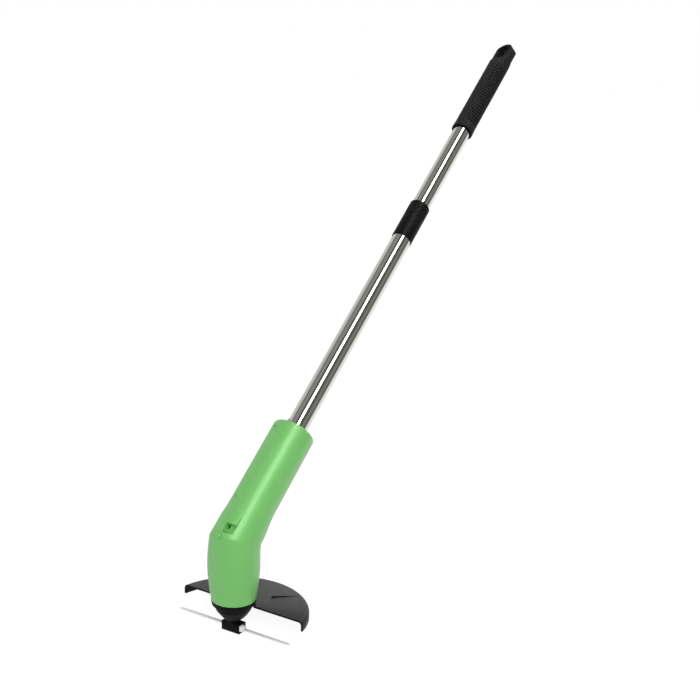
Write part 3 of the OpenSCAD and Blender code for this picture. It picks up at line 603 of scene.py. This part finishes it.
def casing(node, name, body):
    """Copy of one moulding, with cuts beside the bend's crease, faired and then smoothed there."""
    piece = copy_of(node, name)
    for i in range(-CREASE_CUTS, CREASE_CUTS + 1):
        cut(piece, BEND_POINT + MITRE_NORMAL * (CREASE_HALF * MM * i / CREASE_CUTS), MITRE_NORMAL)
    for height in POD_CUTS:
        cut(piece, (0, 0, height * MM), (0, 0, 1))
    for along in SLEEVE_CUTS:
        cut(piece, POLE @ Vector((0, 0, along * MM)), POLE.to_3x3() @ Vector((0, 0, 1)))
    skin = {v.index for v in piece.data.vertices if is_skin(v.co)}
    for index in skin:
        vertex = piece.data.vertices[index]
        vertex.co = faired(vertex.co)

    def beside_crease(vertex):
        away = abs((vertex.co - BEND_POINT).dot(MITRE_NORMAL)) / MM
        return vertex.index in skin and away < CREASE_HALF - CREASE_MARGIN and not vertex.is_boundary

    for _ in range(CREASE_PASSES):
        pick(piece, beside_crease, "VERT")
        bpy.ops.mesh.vertices_smooth(factor=CREASE_PULL)
    bpy.ops.object.mode_set(mode="OBJECT")
    dress(piece, FINISHES["green_plastic"], body, node)


# Grip: a ribbed handle that thins to a flat tab with a hanging eye

# Sizes of the grip as in the part's source, in millimetres
GRIP_R = 12.9
GRIP_LOW = 588
GRIP_TOP = 743
GRIP_TURN = math.radians(-15)
TAB_HALF = 6
TAB_FROM = 703
TAB_FULL = 719
EYE_R = 7
EYE_SLOT_R = 4.8
EYE_TOP = 739.4
EYE_LEN = 21
# Socket for the tube
TUBE_R = 10.65
TUBE_END = 693

# Rows of grooves: distance, width, depth, the slope at their edges, and the first row's place
RIB_PITCH = 4.4
RIB_GROOVE = 1.8
RIB_DEPTH = 0.9
RIB_EDGE = 0.2
RIB_ROWS = 23
RIB_FROM = GRIP_LOW + 11
# Painted groove shade fades out this far below the ribs' tops, where their colour is full
RIB_SHADE_CLEAR = 0.1
# Half the angle of each smooth panel
SMOOTH_HALF = math.radians(33)
# Lip at the grip's lower end: its length, and how far it stands out
LIP_LEN = 3.2
LIP_PROUD = 0.4
# Width of the grip's rounded edges
GRIP_EDGE = 0.35

# Half length of the cutters that lie crosswise, and the side and stretch of the blocks
CUTTER_HALF = 20
BLOCK_SIDE = 20
BLOCK_STRETCH = (2, 1, 3)
# The round-ended cutter starts this far below the grip, and is this much wider there
CUTTER_BELOW = 5
CUTTER_SPREAD = 1.1
# Cutters reach this far past an open end
PAST = 1
# Margins for telling on which side of a height a point lies, on blocks and on arcs
BLOCK_MARGIN = 1
ARC_MARGIN = 0.01
# A face is upright if its normal rises less than the first, and level if more than the second
UPRIGHT_BELOW = 0.1
LEVEL_ABOVE = 0.9
CIRCLE_POINTS = 96
CUTTER_POINTS = 72
QUARTER_TURN = math.radians(90)
# Edges sharper than this are rounded on the pieces made here, in this number of steps
EDGE_ANGLE = math.radians(40)
EDGE_STEPS = 2


def cylinder(name, radius, low, high, vertices=CIRCLE_POINTS):
    """Cylinder along Z between two heights, all in millimetres."""
    alone()
    bpy.ops.mesh.primitive_cylinder_add(vertices=vertices, radius=radius * MM, depth=(high - low) * MM,
                                        location=(0, 0, (high + low) / 2 * MM))
    piece = settle(bpy.context.object)
    piece.name = name
    return piece


def crosswise(name, radius, height):
    """Cylinder along Y, longer than the grip is thick, at a height in millimetres."""
    piece = cylinder(name, radius, -CUTTER_HALF, CUTTER_HALF, CUTTER_POINTS)
    piece.data.transform(Matrix.Rotation(QUARTER_TURN, 4, "X"))
    piece.data.transform(Matrix.Translation((0, 0, height * MM)))
    return piece


def shift(piece, rule, by):
    """Moves the vertices that a rule chooses."""
    pick(piece, rule, "VERT")
    bpy.ops.transform.translate(value=by)
    bpy.ops.object.mode_set(mode="OBJECT")


def stretch(piece, rule, by, kind="FACE"):
    """Scales the faces or vertices that a rule chooses about their middle."""
    pick(piece, rule, kind)
    bpy.ops.transform.resize(value=by)
    bpy.ops.object.mode_set(mode="OBJECT")


def round_edges(piece, width):
    """Rounds a piece's sharp edges by a width in millimetres."""
    apply(piece, "BEVEL", width=width * MM, segments=EDGE_STEPS, limit_method="ANGLE",
          angle_limit=EDGE_ANGLE)


def groove_sides(piece):
    """Sinks rows of grooves into both sides, and leaves the upper and lower panels smooth."""
    for i in range(RIB_ROWS):
        for edge in (0, RIB_GROOVE):
            cut(piece, (0, 0, (RIB_FROM + i * RIB_PITCH + edge) * MM), (0, 0, 1))

    def in_groove(face):
        middle = face.calc_center_median()
        row = (middle.z / MM - RIB_FROM) / RIB_PITCH
        from_panel = math.atan2(abs(middle.x), abs(middle.y))
        in_row = 0 < row < RIB_ROWS and row % 1 < RIB_GROOVE / RIB_PITCH
        return in_row and from_panel > SMOOTH_HALF

    pick(piece, in_groove)
    bpy.ops.mesh.inset(thickness=RIB_EDGE * MM, depth=-RIB_DEPTH * MM)
    bpy.ops.object.mode_set(mode="OBJECT")


def raise_lip(piece):
    """Widens the lowest few millimetres into a lip."""
    lip_top = (GRIP_LOW + LIP_LEN) * MM
    cut(piece, (0, 0, lip_top), (0, 0, 1))

    def on_lip(face):
        return face.calc_center_median().z < lip_top and abs(face.normal.z) < UPRIGHT_BELOW

    wider = 1 + LIP_PROUD / GRIP_R
    stretch(piece, on_lip, (wider, wider, 1))


def thin_to_tab(piece, side):
    """Cuts one side of the grip's end down to the flat of the tab, with a slope before it."""
    alone()
    bpy.ops.mesh.primitive_cube_add(size=BLOCK_SIDE * MM,
                                    location=(0, side * (GRIP_R + BLOCK_SIDE / 2) * MM, 0))
    block = settle(bpy.context.object)
    stretch(block, every, BLOCK_STRETCH)
    shift(block, every, (0, 0, (TAB_FROM + BLOCK_SIDE * BLOCK_STRETCH[2] / 2) * MM))
    cut(block, (0, 0, TAB_FULL * MM), (0, 0, 1))

    def inner_edge(vertex):
        return (abs(vertex.co.y) < (GRIP_R + BLOCK_MARGIN) * MM
                and vertex.co.z > (TAB_FULL - BLOCK_MARGIN) * MM)

    shift(block, inner_edge, (0, side * (TAB_HALF - GRIP_R) * MM, 0))
    carve(piece, block)


def round_tab(piece):
    """Keeps what lies inside a long shape with a round upper end."""
    middle = GRIP_TOP - GRIP_R
    outline = crosswise("round_end", GRIP_R, middle)

    def lower_half(vertex):
        return vertex.co.z < (middle - ARC_MARGIN) * MM

    def foot(vertex):
        return vertex.co.z < GRIP_LOW * MM

    shift(outline, lower_half, (0, 0, (GRIP_LOW - GRIP_TOP) * MM))
    cut(outline, (0, 0, (GRIP_LOW - CUTTER_BELOW) * MM), (0, 0, 1), drop_lower=True)
    stretch(outline, foot, (CUTTER_SPREAD, 1, 1), "VERT")
    carve(piece, outline, "INTERSECT")


def open_eye(piece):
    """Cuts the round eye and the slot that runs down from it."""
    carve(piece, crosswise("eye_cut", EYE_R, EYE_TOP - EYE_R))
    middle = EYE_TOP - EYE_LEN + EYE_SLOT_R
    slot = crosswise("slot_cut", EYE_SLOT_R, middle)

    def upper_half(vertex):
        return vertex.co.z > (middle + ARC_MARGIN) * MM

    shift(slot, upper_half, (0, 0, (EYE_LEN - EYE_R - EYE_SLOT_R) * MM))
    carve(piece, slot)


def grip():
    """Handle with grooves on both sides, a lip, and a flat tab with a keyhole eye."""
    piece = cylinder("ribbed_grip", GRIP_R, GRIP_LOW, GRIP_TOP)
    groove_sides(piece)
    raise_lip(piece)
    thin_to_tab(piece, -1)
    thin_to_tab(piece, 1)
    round_tab(piece)
    open_eye(piece)
    carve(piece, cylinder("socket", TUBE_R, GRIP_LOW - PAST, TUBE_END))
    round_edges(piece, GRIP_EDGE)
    piece.data.transform(POLE @ Matrix.Rotation(GRIP_TURN, 4, "Z"))
    dress(piece, grip_rubber(), "handle", "grip")


# Rim under the pod: its heights, how far it and its upper edge stand out, its bore, and the
# width of its rounded edges

RIM_LOW = 31.8
RIM_HIGH = 35
RIM_PROUD = 0.3
RIM_FLARE = 0.5
RIM_BORE_R = POD_BASE_R - 0.4
RIM_EDGE = 0.25


def pod_rim():
    """Black rim that closes the pod's lower edge, following its outline."""
    piece = cylinder("pod_rim", POD_BASE_R + RIM_PROUD, RIM_LOW, RIM_HIGH)
    wider = 1 + RIM_FLARE / POD_BASE_R
    stretch(piece, lambda face: face.normal.z > LEVEL_ABOVE, (wider, wider, 1))
    carve(piece, cylinder("rim_bore", RIM_BORE_R, RIM_LOW - PAST, RIM_HIGH + PAST))
    round_edges(piece, RIM_EDGE)
    dress(piece, FINISHES["black_plastic"], "housing")


# Finishes of the CAD nodes that stay

# Faces that lean less than this from each other are flat
FLAT_ANGLE = math.radians(0.6)
# Radius of the rounded edges of nodes that show, in millimetres
ROUNDED = {"lock_collar": 0.3, "guard": 0.35, "spindle_block": 0.4, "switch_slider": 0.8}


def finish_node(piece, slot, rounded):
    """Gives a CAD node its finish, smooth shading between sharp edges, and rounded edges."""
    piece.data.materials.clear()
    piece.data.materials.append(FINISHES[slot])
    for polygon in piece.data.polygons:
        polygon.use_smooth = True
    drop_normals(piece.data)
    weld = piece.modifiers.new("weld", "WELD")
    weld.merge_threshold = MERGE_WITHIN
    if rounded:
        merge = piece.modifiers.new("merge", "DECIMATE")
        merge.decimate_type = "DISSOLVE"
        merge.angle_limit = FLAT_ANGLE
        rounding = piece.modifiers.new("rounding", "BEVEL")
        rounding.width = rounded * MM
        rounding.segments = EDGE_STEPS
        rounding.limit_method = "ANGLE"
        rounding.angle_limit = SMOOTH_ANGLE
    split = piece.modifiers.new("split", "EDGE_SPLIT")
    split.split_angle = SMOOTH_ANGLE


for row in frame["record"]["subparts"]:
    finish_node(CAD[row["node"]], row["material_slot"], ROUNDED.get(row["node"]))

casing("left_shell", "left_casing", "housing")
casing("right_shell", "right_casing", "housing")
casing("battery_door", "bay_door", "door")
grip()
pod_rim()
